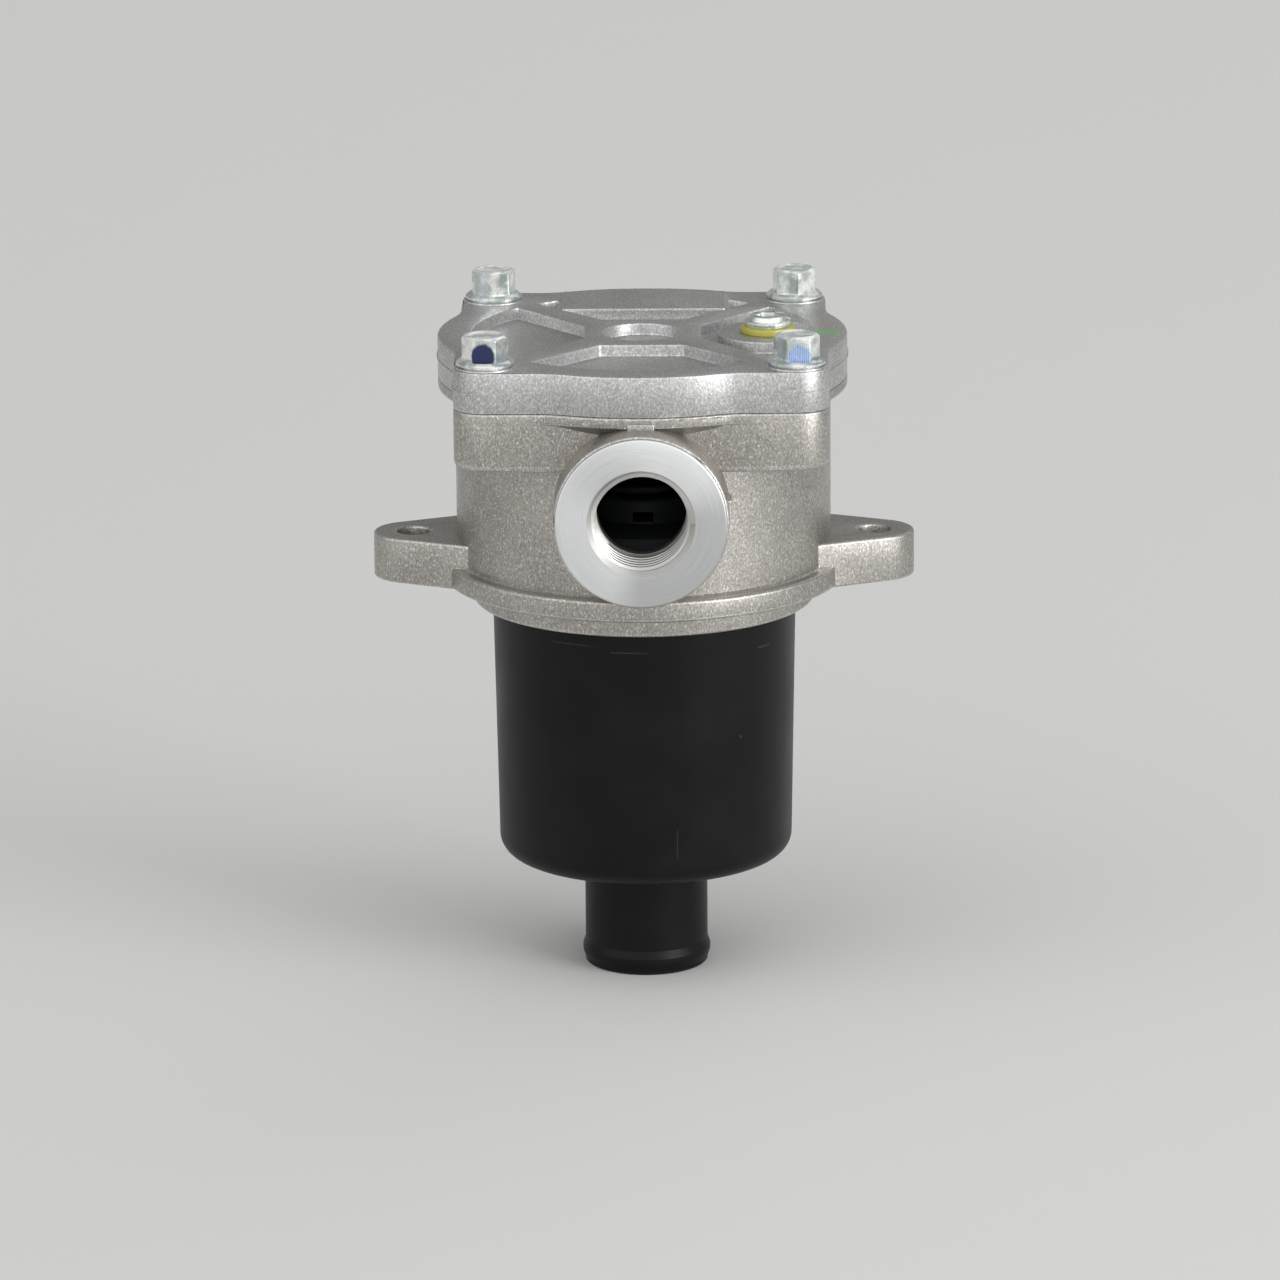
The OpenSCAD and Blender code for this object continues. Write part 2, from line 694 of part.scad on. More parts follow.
// Valve housing: a turret with windows above the cap and a throat through it
module bypass_housing() color("#2a2a2e") difference() {
    seat_r = hold_coil_d / 2 + loose_gap;
    z_lid_top = z_turret - spring_seat_h;
    z_lid_low = z_lid_top - lid_h;
    rotate_extrude() polygon([
        [throat_bore_d / 2, z_valve],
        [throat_r, z_valve],
        [throat_r, z_cap],
        [turret_d / 2, z_cap],
        [turret_d / 2, z_turret - edge],
        [turret_d / 2 - edge, z_turret],
        [seat_r, z_turret],
        [seat_r, z_lid_top],
        [0, z_lid_top],
        [0, z_lid_low],
        [turret_d / 2 - turret_wall, z_lid_low],
        [turret_d / 2 - turret_wall, z_cap + edge],
        [throat_bore_d / 2, z_cap + edge]
    ]);
    for (k = [0 : windows - 1]) rotate((k + 0.5) * 360 / windows)
        translate([turret_d / 4, -window_w / 2, z_cap + edge])
            cube([turret_d / 2, window_w, z_lid_low - z_cap - 2 * edge]);
}

// Cage under the throat that carries the bypass spring and guides the stem
module bypass_cage() color("#9a9da0") {
    ring_h = throat_l - cap_h;
    translate([0, 0, z_valve]) difference() {
        cylinder(r = cage_r, h = ring_h);
        translate([0, 0, -over]) cylinder(r = throat_r + fit_gap, h = ring_h + 2 * over);
    }
    intersection() {
        translate([0, 0, z_cage - cage_h]) difference() {
            cylinder(r = cage_r, h = z_valve - z_cage + cage_h + edge);
            translate([0, 0, -over])
                cylinder(r = throat_r + fit_gap, h = z_valve - z_cage + cage_h + 3 * over);
        }
        union() for (k = [0 : cage_legs - 1]) rotate(90 + k * 360 / cage_legs)
            translate([0, -leg_w / 2, z_cage - cage_h])
                cube([cage_r + over, leg_w, z_valve - z_cage + cage_h + edge]);
    }
    translate([0, 0, z_cage - cage_h]) difference() {
        cylinder(r = cage_r, h = cage_h);
        translate([0, 0, -over]) cylinder(r = stem_d / 2 + run_gap, h = cage_h + 2 * over);
        for (k = [0 : cage_legs - 1]) rotate(90 + (k + 0.5) * 360 / cage_legs)
            translate([(bypass_coil_d / 2 + cage_r) / 2, 0, -over])
                cylinder(r = (cage_r - bypass_coil_d / 2) / 2 - edge, h = cage_h + 2 * over);
    }
}

// Poppet plate with a hub that centres the bypass spring
module bypass_poppet() color("#b0b3b5") {
    hub_r = bypass_coil_d / 2 - bypass_wire_d - loose_gap;
    translate([0, 0, z_plate]) difference() {
        union() {
            cylinder(r = poppet_r, h = poppet_h);
            translate([0, 0, -poppet_h]) cylinder(r = hub_r, h = poppet_h + edge);
        }
        translate([0, 0, -poppet_h - over])
            cylinder(r = stem_d / 2 + seal_gap, h = 2 * poppet_h + 2 * over);
    }
}

// Rubber face between the poppet and its seat
module poppet_face() color("#2b2b2b") {
    translate([0, 0, z_plate + poppet_h]) difference() {
        cylinder(r = poppet_r, h = face_h);
        translate([0, 0, -over]) cylinder(r = stem_d / 2 + seal_gap, h = face_h + 2 * over);
    }
}

// Stem with a rivet head that clamps the rubber face to the poppet
module poppet_stem() color("#b9bcbd") {
    tail = lift + 2 * edge;
    translate([0, 0, z_valve]) cylinder(d1 = rivet_d, d2 = rivet_d - 4 * edge, h = poppet_h);
    translate([0, 0, z_cage - cage_h - tail])
        cylinder(d = stem_d, h = z_valve - z_cage + cage_h + tail + edge);
}

// Points of a round section placed square to a helix at one angle
function coil_ring(mid_r, wire_r, a, z) = [for (s = [0 : wire_sides - 1])
    let (turn = s * 360 / wire_sides, r = mid_r + wire_r * cos(turn))
    [r * cos(a), r * sin(a), z + wire_r * sin(turn)]];

// Height of a spring's wire after t turns, with one closed turn at each end
function coil_rise(t, turns, wire_d, length) =
    let (open = turns - 2, free = length - 3 * wire_d)
    t < 1 ? t * wire_d
    : t > turns - 1 ? wire_d + free + (t - turns + 1) * wire_d
    : wire_d + free * (t - 1) / open;

// Compression spring that stands on z = 0
module coil_spring(outer_d, wire_d, turns, length) {
    count = floor(turns * turn_steps);
    radius = (outer_d - wire_d) / 2;
    rings = [for (i = [0 : count])
        coil_ring(radius, wire_d / 2, i * 360 / turn_steps,
            wire_d / 2 + coil_rise(i / turn_steps, turns, wire_d, length))];
    points = [for (ring_points = rings) for (p = ring_points) p];
    sides = [for (i = [0 : count - 1], s = [0 : wire_sides - 1])
        let (a = i * wire_sides, b = a + wire_sides, n = (s + 1) % wire_sides)
        for (f = [[a + s, a + n, b + n], [a + s, b + n, b + s]])
        f];
    ends = [
        [for (s = [wire_sides - 1 : -1 : 0]) s],
        [for (s = [0 : wire_sides - 1]) count * wire_sides + s]
    ];
    polyhedron(points = points, faces = concat(sides, ends));
}

module bypass_spring() color("#a9adaf")
    translate([0, 0, z_cage + seal_gap])
        coil_spring(bypass_coil_d, bypass_wire_d, bypass_turns, bypass_spring_l - 2 * seal_gap);

module hold_down_spring() color("#5a5c5e") {
    z_low = z_turret - spring_seat_h;
    translate([0, 0, z_low + seal_gap])
        coil_spring(hold_coil_d, hold_wire_d, hold_turns, z_ceiling - z_low - 2 * seal_gap);
}

head();
cover();
cover_bolts();
cover_seal();
gauge_plug();
plug_washer();
bowl();
bowl_seal();
hold_down_spring();
element_top_cap();
element_media();
element_core();
element_bottom_cap();
neck_seal();
bypass_housing();
bypass_poppet();
poppet_face();
poppet_stem();
bypass_spring();
bypass_cage();
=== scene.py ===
import math

import bmesh
import bpy
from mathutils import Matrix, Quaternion, Vector, noise


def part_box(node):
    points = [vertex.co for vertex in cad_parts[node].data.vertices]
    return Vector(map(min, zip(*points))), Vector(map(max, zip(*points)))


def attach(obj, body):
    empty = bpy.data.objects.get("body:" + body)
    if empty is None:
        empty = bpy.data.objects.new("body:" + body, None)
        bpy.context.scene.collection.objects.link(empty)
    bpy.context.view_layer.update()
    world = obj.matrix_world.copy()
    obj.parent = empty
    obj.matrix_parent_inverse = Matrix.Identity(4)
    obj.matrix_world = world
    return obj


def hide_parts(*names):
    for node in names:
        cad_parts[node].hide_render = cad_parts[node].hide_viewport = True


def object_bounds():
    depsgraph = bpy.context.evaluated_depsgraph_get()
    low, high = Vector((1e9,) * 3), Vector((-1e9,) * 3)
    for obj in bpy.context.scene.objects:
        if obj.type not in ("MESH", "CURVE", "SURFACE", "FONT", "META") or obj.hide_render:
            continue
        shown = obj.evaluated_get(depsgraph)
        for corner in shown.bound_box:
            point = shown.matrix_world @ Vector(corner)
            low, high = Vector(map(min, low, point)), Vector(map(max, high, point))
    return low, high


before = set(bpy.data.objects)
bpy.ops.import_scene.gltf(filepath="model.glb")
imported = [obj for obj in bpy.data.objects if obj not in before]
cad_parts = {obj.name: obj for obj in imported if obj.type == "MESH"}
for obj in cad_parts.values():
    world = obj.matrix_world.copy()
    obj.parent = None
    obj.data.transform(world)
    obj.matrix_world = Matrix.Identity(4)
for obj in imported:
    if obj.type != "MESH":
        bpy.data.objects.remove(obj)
cad_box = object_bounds()

MM = 0.001

# Places and sizes that the looks share with the CAD, in metres
HEAD_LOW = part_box("head")[0]
COVER_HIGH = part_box("cover")[1]
TANK_Z = 100.7 * MM
FLANGE_Z = TANK_Z + 5.3 * MM
FLANGE_R = 50.0 * MM
JOINT_Z = TANK_Z + 51.6 * MM
CORNER_Z = JOINT_Z - 14.7 * MM
PAD_Z = JOINT_Z + 10.6 * MM
BOLT_AT = 38.0 * MM
INLET_Y = HEAD_LOW.y
INLET_Z = TANK_Z + 27.5 * MM
BORE_R = 12.06 * MM
CHAMFER_R = BORE_R + 1.15 * MM
TURNED_FACE_R = 21.0 * MM

# The inlet's thread, which only the looks have
THREAD_CREST_R = 11.35 * MM
THREAD_PITCH = 2.309 * MM
THREAD_LENGTH = 13.0 * MM
THREAD_START = 0.9 * MM
THREAD_RISE = 0.75 * MM

# How edges are rounded. A wide face has more corners than WIDE and is cut into triangles first
WIDE = 24
SAME_FACE_ANGLE = math.radians(0.6)
SHARP_ANGLE = math.radians(28)
MOST_OF_FACE = 0.42
HEAD_ROUNDING = 1.8 * MM
HEAD_SMALL_ROUNDING = 0.6 * MM
COVER_ROUNDING = 0.45 * MM


# Mesh helpers

def mm(*values):
    """Millimetres as metres."""
    return tuple(value * MM for value in values)


def put(mesh, name):
    """Puts a mesh in the scene as an object."""
    piece = bpy.data.objects.new(name, mesh)
    bpy.context.scene.collection.objects.link(piece)
    return piece


def mesh_from(bm, name):
    """The bmesh as a mesh whose faces point outwards."""
    mesh = bpy.data.meshes.new(name)
    bmesh.ops.recalc_face_normals(bm, faces=bm.faces)
    bm.to_mesh(mesh)
    bm.free()
    return mesh


def dress(piece, *paints):
    """Gives a piece its materials, in order."""
    for paint in paints:
        piece.data.materials.append(paint)


def finished(piece):
    """Works the piece's modifiers into its mesh."""
    bpy.context.view_layer.update()
    graph = bpy.context.evaluated_depsgraph_get()
    mesh = bpy.data.meshes.new_from_object(
        piece.evaluated_get(graph), preserve_all_data_layers=True, depsgraph=graph)
    piece.modifiers.clear()
    piece.data = mesh


def smooth(piece, angle=32):
    """Shades a piece smooth, apart from edges sharper than the angle in degrees."""
    piece.data.shade_smooth()
    piece.data.set_sharp_from_angle(angle=math.radians(angle))


def show(piece, node=None):
    """Hands a piece to the filter's body, in place of a CAD node where it names one."""
    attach(piece, "filter")
    if node:
        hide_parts(node)


def bare_copy(node):
    """The CAD node's surface with its loose triangles joined, as a bmesh."""
    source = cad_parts[node].data
    points = [v.co for v in source.vertices]
    faces = [p.vertices for p in source.polygons]
    bare = bpy.data.meshes.new(node)
    bare.from_pydata(points, [], faces)
    bm = bmesh.new()
    bm.from_mesh(bare)
    bpy.data.meshes.remove(bare)
    bmesh.ops.remove_doubles(bm, verts=bm.verts, dist=1e-6)
    return bm


def room_beside(edge, face):
    """How far the face reaches from one of its edges, at its narrowest end."""
    start = edge.verts[0].co
    along = (edge.verts[1].co - start).normalized()
    room = max((v.co - start - along * along.dot(v.co - start)).length for v in face.verts)
    for vert in edge.verts:
        for other in vert.link_edges:
            if other is edge or face not in other.link_faces:
                continue
            away = other.other_vert(vert).co - vert.co
            beside = (away - along * away.dot(along)).length
            if beside > 0.5 * away.length:
                room = min(room, beside)
    return room


def triangulate_wide(bm):
    """Cuts the many-sided faces into triangles that aren't slivers along their edges."""
    passes = 3
    level_angle = 0.01
    wide = [face for face in bm.faces if len(face.verts) > WIDE]
    bmesh.ops.triangulate(bm, faces=wide)
    for _ in range(passes):
        flat = [
            e for e in bm.edges
            if len(e.link_faces) == 2 and e.calc_face_angle() < level_angle
            and all(len(f.verts) == 3 for f in e.link_faces)]
        faces = list({f for e in flat for f in e.link_faces})
        bmesh.ops.beautify_fill(bm, faces=faces, edges=flat, method="AREA")


def rounded_copy(node, name, radius, wanted=None, steps=2):
    """A copy of a CAD node with its edges rounded, less where a face is too narrow for it.
    wanted(edge) is the radius an edge should have. Rounded faces take its second material."""
    bm = bare_copy(node)
    bmesh.ops.dissolve_limit(bm, angle_limit=SAME_FACE_ANGLE, verts=bm.verts, edges=bm.edges)
    share = bm.edges.layers.float.new("bevel_weight_edge")
    for edge in bm.edges:
        if len(edge.link_faces) != 2 or edge.calc_face_angle() < SHARP_ANGLE:
            continue
        wish = wanted(edge) if wanted else radius
        room = min(room_beside(edge, face) for face in edge.link_faces)
        edge[share] = min(wish, MOST_OF_FACE * room) / radius
    triangulate_wide(bm)
    piece = put(mesh_from(bm, name), name)
    rounding = piece.modifiers.new("rounding", "BEVEL")
    rounding.width = radius
    rounding.segments = steps
    rounding.limit_method = "WEIGHT"
    rounding.use_clamp_overlap = False
    rounding.material = 1
    rounding.miter_outer = "MITER_ARC"
    return piece


def rounded_piece(node, name, radius, skin, rubbed):
    """A piece made from its CAD node, with rounded edges in a material of their own."""
    piece = rounded_copy(node, name, radius)
    dress(piece, skin, rubbed)
    finished(piece)
    smooth(piece)
    show(piece, node)


def outline_at(node, level):
    """The node's outer outline where a level plane cuts it, as points in order."""
    bm = bare_copy(node)
    cut = bmesh.ops.bisect_plane(
        bm, geom=bm.verts[:] + bm.edges[:] + bm.faces[:], dist=1e-7,
        plane_co=(0, 0, level), plane_no=(0, 0, 1))["geom_cut"]
    edges = [e for e in cut if isinstance(e, bmesh.types.BMEdge)]
    neighbours = {}
    for edge in edges:
        a, b = edge.verts
        neighbours.setdefault(a, []).append(b)
        neighbours.setdefault(b, []).append(a)
    start = max(neighbours, key=lambda v: v.co.x * v.co.x + v.co.y * v.co.y)
    loop = [start]
    step = neighbours[start][0]
    while step is not start:
        onward = [v for v in neighbours[step] if v is not loop[-1]]
        loop.append(step)
        step = onward[0] if onward else start
    points = [v.co.to_2d() for v in loop]
    bm.free()
    area = sum(a.cross(b) for a, b in zip(points, points[1:] + points[:1]))
    if area < 0:
        points.reverse()
    return points


def spaced(points, gap):
    """The closed outline as points an even gap apart."""
    out = []
    carry = 0.0
    for a, b in zip(points, points[1:] + points[:1]):
        length = (b - a).length
        while carry < length:
            out.append(a.lerp(b, carry / length))
            carry += gap
        carry -= length
    return out


def front_part(points, left, right):
    """The part of an outline in front, between two places on X, from left to right."""
    part = [p for p in points if p.y < 0 and left * MM < p.x < right * MM]
    return sorted(part, key=lambda p: p.x)


def around(radius, start, end, step=0.8):
    """Points of an arc about the axis, from one angle to another in degrees."""
    count = max(2, int(abs(end - start) / step))
    angles = [math.radians(start + (end - start) * i / count) for i in range(count + 1)]
    return [Vector((math.cos(a), math.sin(a))) * radius for a in angles]


def ridge(bm, points, level, reach, thick, closed=True):
    """A thin strip of metal along an outline. reach(point) is how far it stands out there."""
    foot = 0.3 * MM
    blunt = 0.35
    rails = []
    count = len(points)
    for i, point in enumerate(points):
        before = points[i - 1] if closed or i else point
        after = points[(i + 1) % count] if closed or i + 1 < count else point
        along = (after - before).normalized()
        out = Vector((along.y, -along.x))
        inner = point - out * foot
        outer = point + out * reach(point)
        outer.y = min(outer.y, COVER_HIGH.y)
        rails.append((
            bm.verts.new((*inner, level - thick)),
            bm.verts.new((*outer, level - thick * blunt)),
            bm.verts.new((*outer, level + thick * blunt)),
            bm.verts.new((*inner, level + thick))))
    for i in range(count if closed else count - 1):
        for j in range(4):
            bm.faces.new((
                rails[i][j], rails[i][(j + 1) % 4],
                rails[(i + 1) % count][(j + 1) % 4], rails[(i + 1) % count][j]))
    if not closed:
        bm.faces.new(rails[0])
        bm.faces.new(rails[-1])


def chips(most, size, seed):
    """How far ragged flash stands out: hardly at all along most of it, chips here and there."""
    least = 0.06 * MM

    def reach(point):
        spot = Vector((point.x / size, point.y / size, seed))
        return max(least, most * (0.25 + 1.5 * noise.noise(spot)))
    return reach


def lump(bm, low, high):
    """A small cast block with its edges taken in. low and high are opposite corners, in mm."""
    low, high = Vector(low) * MM, Vector(high) * MM
    middle = (low + high) / 2
    size = high - low
    made = bmesh.ops.create_cube(bm, size=1.0)["verts"]
    for vert in made:
        vert.co = Vector((vert.co.x * size.x, vert.co.y * size.y, vert.co.z * size.z)) + middle
    edges = list({e for v in made for e in v.link_edges})
    bmesh.ops.bevel(
        bm, geom=edges, offset=0.22 * min(size), segments=2, profile=0.5, affect="EDGES")


# Shader helpers

def add(tree, kind, **values):
    """Adds a node. Values name its settings or, where it has none by that name, its sockets."""
    made = tree.nodes.new(kind)
    for name, value in values.items():
        if hasattr(made, name):
            setattr(made, name, value)
        else:
            made.inputs[name.replace("_", " ")].default_value = value
    return made


def wire(tree, source, target):
    tree.links.new(source, target)


def effect(name, takes, gives):
    """An empty node group with named inputs and outputs."""
    tree = bpy.data.node_groups.new(name, "ShaderNodeTree")
    for label, kind, value in takes:
        socket = tree.interface.new_socket(label, in_out="INPUT", socket_type=kind)
        socket.default_value = value
    for label, kind in gives:
        tree.interface.new_socket(label, in_out="OUTPUT", socket_type=kind)
    return tree, tree.nodes.new("NodeGroupInput"), tree.nodes.new("NodeGroupOutput")


def use(tree, group, **values):
    """Places a shared effect in a material, with its own values."""
    made = tree.nodes.new("ShaderNodeGroup")
    made.node_tree = group
    for name, value in values.items():
        made.inputs[name.replace("_", " ")].default_value = value
    return made


def maths(tree, operation, a, b=None):
    """The result of a Math node. a and b are sockets or plain numbers."""
    made = add(tree, "ShaderNodeMath", operation=operation)
    for socket, value in zip(made.inputs, (a, b)):
        if value is None:
            continue
        if isinstance(value, (int, float)):
            socket.default_value = value
        else:
            wire(tree, value, socket)
    return made.outputs[0]


def spread(tree, value, low, high, to_low=0.0, to_high=1.0):
    """The value's range from low to high, carried to another range and held at its ends."""
    made = add(tree, "ShaderNodeMapRange", interpolation_type="SMOOTHSTEP")
    wire(tree, value, made.inputs["Value"])
    made.inputs["From Min"].default_value = low
    made.inputs["From Max"].default_value = high
    made.inputs["To Min"].default_value = to_low
    made.inputs["To Max"].default_value = to_high
    return made.outputs["Result"]


def blend(tree, share, a, b):
    """Mixes two colours by a socket's share. Each of them is a socket or a plain colour."""
    made = add(tree, "ShaderNodeMix", data_type="RGBA")
    wire(tree, share, made.inputs[0])
    for socket, value in ((made.inputs[6], a), (made.inputs[7], b)):
        if isinstance(value, tuple):
            socket.default_value = (*value, 1)
        else:
            wire(tree, value, socket)
    return made.outputs[2]


def material(name):
    """A new material with its node tree, its shader and a piece's own coordinates."""
    made = bpy.data.materials.new(name)
    made.use_nodes = True
    tree = made.node_tree
    shader = tree.nodes["Principled BSDF"]
    place = tree.nodes.new("ShaderNodeTexCoord").outputs["Object"]
    return made, tree, shader, place


def plain(name, colour, metallic, roughness, shine=0.5):
    """A material of one even colour."""
    made, _, shader, _ = material(name)
    shader.inputs["Base Color"].default_value = (*colour, 1)
    shader.inputs["Metallic"].default_value = metallic
    shader.inputs["Roughness"].default_value = roughness
    shader.inputs["Specular IOR Level"].default_value = shine
    return made


# Shared effects

def blasted_skin():
    """Shot-blasted casting: uneven tone, a fine upright grain of pits and bright facets."""
    tree, given, out = effect("blasted_skin", (
        ("Place", "NodeSocketVector", (0, 0, 0)),
        ("Light", "NodeSocketColor", (0.5, 0.5, 0.5, 1)),
        ("Dark", "NodeSocketColor", (0.3, 0.3, 0.3, 1)),
        ("Facet", "NodeSocketColor", (0.9, 0.9, 0.9, 1)),
        ("Facet share", "NodeSocketFloat", 0.5),
        ("Grain size", "NodeSocketFloat", 0.0006),
        ("Depth", "NodeSocketFloat", 0.00006),
    ), (
        ("Colour", "NodeSocketColor"),
        ("Roughness", "NodeSocketFloat"),
        ("Normal", "NodeSocketVector"),
    ))
    drawn_upright = (1.0, 1.0, 0.6)
    inverse = maths(tree, "DIVIDE", 1.0, given.outputs["Grain size"])
    drawn = add(tree, "ShaderNodeVectorMath", operation="MULTIPLY")
    drawn.inputs[1].default_value = drawn_upright
    wire(tree, given.outputs["Place"], drawn.inputs[0])
    grain = add(tree, "ShaderNodeTexNoise", Detail=2.0, Roughness=0.6)
    wire(tree, drawn.outputs[0], grain.inputs["Vector"])
    wire(tree, inverse, grain.inputs["Scale"])
    pits = add(tree, "ShaderNodeTexVoronoi")
    wire(tree, drawn.outputs[0], pits.inputs["Vector"])
    wire(tree, maths(tree, "MULTIPLY", inverse, 1.3), pits.inputs["Scale"])
    chance = add(tree, "ShaderNodeSeparateColor")
    wire(tree, pits.outputs["Color"], chance.inputs["Color"])
    patch = add(tree, "ShaderNodeTexNoise", Scale=55.0, Detail=3.0, Roughness=0.5)
    wire(tree, given.outputs["Place"], patch.inputs["Vector"])
    tone = spread(tree, patch.outputs["Fac"], 0.3, 0.7)
    body = blend(tree, tone, given.outputs["Dark"], given.outputs["Light"])
    fine = maths(
        tree, "MULTIPLY", spread(tree, grain.outputs["Fac"], 0.3, 0.7, 0.80, 1.20),
        spread(tree, chance.outputs["Green"], 0.0, 1.0, 0.90, 1.10))
    speckled = add(tree, "ShaderNodeVectorMath", operation="SCALE")
    wire(tree, body, speckled.inputs[0])
    wire(tree, fine, speckled.inputs["Scale"])
    facet = spread(tree, chance.outputs["Red"], 0.62, 1.0)
    facet = maths(tree, "MULTIPLY", facet, spread(tree, grain.outputs["Fac"], 0.42, 0.62))
    facet = maths(tree, "MULTIPLY", facet, given.outputs["Facet share"])
    colour = blend(tree, facet, speckled.outputs[0], given.outputs["Facet"])
    wire(tree, colour, out.inputs["Colour"])
    wire(tree, spread(tree, facet, 0.0, 0.5, 0.42, 0.30), out.inputs["Roughness"])
    relief = add(tree, "ShaderNodeBump", Strength=0.55)
    wire(tree, given.outputs["Depth"], relief.inputs["Distance"])
    wire(tree, grain.outputs["Fac"], relief.inputs["Height"])
    wire(tree, relief.outputs["Normal"], out.inputs["Normal"])
    return tree


def turned_rings_and_painted_sheen():
    """Marks of a lathe tool on a face across Y, about the inlet's axis: fine rings, and a
    painted sheen: one side painted lighter than the other and two painted light fans across it,
    standing in for the light the turned metal reflects. The angles are in radians."""
    tree, given, out = effect("turned_rings_and_painted_sheen", (
        ("Place", "NodeSocketVector", (0, 0, 0)),
        ("Pitch", "NodeSocketFloat", 0.0003),
        ("Depth", "NodeSocketFloat", 0.00001),
    ), (
        ("Shade", "NodeSocketFloat"),
        ("Normal", "NodeSocketVector"),
    ))
    painted_lean_angle = 2.6
    painted_fan_angle = 0.75
    parts = add(tree, "ShaderNodeSeparateXYZ")
    wire(tree, given.outputs["Place"], parts.inputs[0])
    up = maths(tree, "SUBTRACT", parts.outputs["Z"], INLET_Z)
    across = parts.outputs["X"]
    radius = maths(tree, "SQRT", maths(
        tree, "ADD", maths(tree, "MULTIPLY", across, across), maths(tree, "MULTIPLY", up, up)))
    angle = maths(tree, "ARCTAN2", up, across)
    polar = add(tree, "ShaderNodeCombineXYZ")
    wire(tree, maths(tree, "DIVIDE", radius, given.outputs["Pitch"]), polar.inputs["X"])
    wire(tree, maths(tree, "MULTIPLY", angle, 1.2), polar.inputs["Y"])
    rings = add(tree, "ShaderNodeTexNoise", Scale=0.9, Detail=3.0, Roughness=0.7)
    wire(tree, polar.outputs[0], rings.inputs["Vector"])
    ring_shade = spread(tree, rings.outputs["Fac"], 0.3, 0.7, -0.06, 0.06)
    # Painted sheen: the shade is raised on one side and in two fans across the face, as painted
    # highlight and painted shade of the turned metal's reflection.
    lean = maths(tree, "COSINE", maths(tree, "SUBTRACT", angle, painted_lean_angle))
    twice = maths(tree, "MULTIPLY", maths(tree, "SUBTRACT", angle, painted_fan_angle), 2.0)
    bow = maths(tree, "COSINE", twice)
    painted_sheen_fan = spread(tree, maths(tree, "ADD", lean, bow), -0.7, 0.8, 0.80, 1.14)
    wire(tree, maths(tree, "ADD", ring_shade, painted_sheen_fan), out.inputs["Shade"])
    relief = add(tree, "ShaderNodeBump", Strength=0.5)
    wire(tree, given.outputs["Depth"], relief.inputs["Distance"])
    wire(tree, rings.outputs["Fac"], relief.inputs["Height"])
    wire(tree, relief.outputs["Normal"], out.inputs["Normal"])
    return tree


def blot():
    """A soft-edged mark round one point. Its mask is 1 inside and frays at the edge."""
    tree, given, out = effect("blot", (
        ("Place", "NodeSocketVector", (0, 0, 0)),
        ("Centre", "NodeSocketVector", (0, 0, 0)),
        ("Half size", "NodeSocketVector", (0.001, 0.001, 0.001)),
        ("Fray", "NodeSocketFloat", 0.3),
        ("Fray size", "NodeSocketFloat", 0.0008),
    ), (("Mask", "NodeSocketFloat"),))
    away = add(tree, "ShaderNodeVectorMath", operation="SUBTRACT")
    wire(tree, given.outputs["Place"], away.inputs[0])
    wire(tree, given.outputs["Centre"], away.inputs[1])
    share = add(tree, "ShaderNodeVectorMath", operation="DIVIDE")
    wire(tree, away.outputs[0], share.inputs[0])
    wire(tree, given.outputs["Half size"], share.inputs[1])
    length = add(tree, "ShaderNodeVectorMath", operation="LENGTH")
    wire(tree, share.outputs[0], length.inputs[0])
    ragged = add(tree, "ShaderNodeTexNoise", Detail=3.0)
    wire(tree, given.outputs["Place"], ragged.inputs["Vector"])
    wire(tree, maths(tree, "DIVIDE", 1.0, given.outputs["Fray size"]), ragged.inputs["Scale"])
    centred = maths(tree, "SUBTRACT", ragged.outputs["Fac"], 0.5)
    wander = maths(tree, "MULTIPLY", centred, given.outputs["Fray"])
    edge = maths(tree, "ADD", length.outputs["Value"], maths(tree, "MULTIPLY", wander, 4.0))
    wire(tree, spread(tree, edge, 0.88, 1.08, 1.0, 0.0), out.inputs["Mask"])
    return tree


SKIN = blasted_skin()
RINGS_AND_PAINTED_SHEEN = turned_rings_and_painted_sheen()
BLOT = blot()


def marked(tree, place, centre, half, fray, fray_size=0.8):
    """The mask of one blot. Its centre, half size and the size of its fray are in mm."""
    made = use(
        tree, BLOT, Centre=mm(*centre), Half_size=mm(*half), Fray=fray, Fray_size=fray_size * MM)
    wire(tree, place, made.inputs["Place"])
    return made.outputs["Mask"]


def scratched(tree, place, colour, marks):
    """Draws scratches or smears over a colour, each a centre and half size in mm and a paint
    whose last number is its strength."""
    for centre, half, paint in marks:
        mask = marked(tree, place, centre, half, 0.35, 0.6)
        colour = blend(tree, maths(tree, "MULTIPLY", mask, paint[3]), colour, paint[:3])
    return colour


# Materials

def casting(name, light, dark, facets):
    """Cast aluminium as it comes from the blasting."""
    facet_white = (0.92, 0.92, 0.91, 1)
    made, tree, shader, place = material(name)
    skin = use(
        tree, SKIN, Light=(*light, 1), Dark=(*dark, 1), Facet=facet_white,
        Facet_share=facets, Grain_size=0.4 * MM, Depth=0.1 * MM)
    wire(tree, place, skin.inputs["Place"])
    wire(tree, skin.outputs["Colour"], shader.inputs["Base Color"])
    wire(tree, skin.outputs["Roughness"], shader.inputs["Roughness"])
    wire(tree, skin.outputs["Normal"], shader.inputs["Normal"])
    shader.inputs["Metallic"].default_value = 0.9
    return made


def turned(name, tint, roughness):
    """Aluminium turned on a lathe, its colour carrying the lathe rings and a painted sheen."""
    made, tree, shader, place = material(name)
    rings = use(tree, RINGS_AND_PAINTED_SHEEN, Pitch=0.28 * MM, Depth=0.012 * MM)
    wire(tree, place, rings.inputs["Place"])
    tone = add(tree, "ShaderNodeVectorMath", operation="SCALE")
    tone.inputs[0].default_value = tint
    # The shade scales the colour with the real rings and with painted highlight and painted
    # shade fans.
    wire(tree, rings.outputs["Shade"], tone.inputs["Scale"])
    wire(tree, tone.outputs[0], shader.inputs["Base Color"])
    wire(tree, rings.outputs["Normal"], shader.inputs["Normal"])
    shader.inputs["Metallic"].default_value = 0.95
    shader.inputs["Roughness"].default_value = roughness
    return made


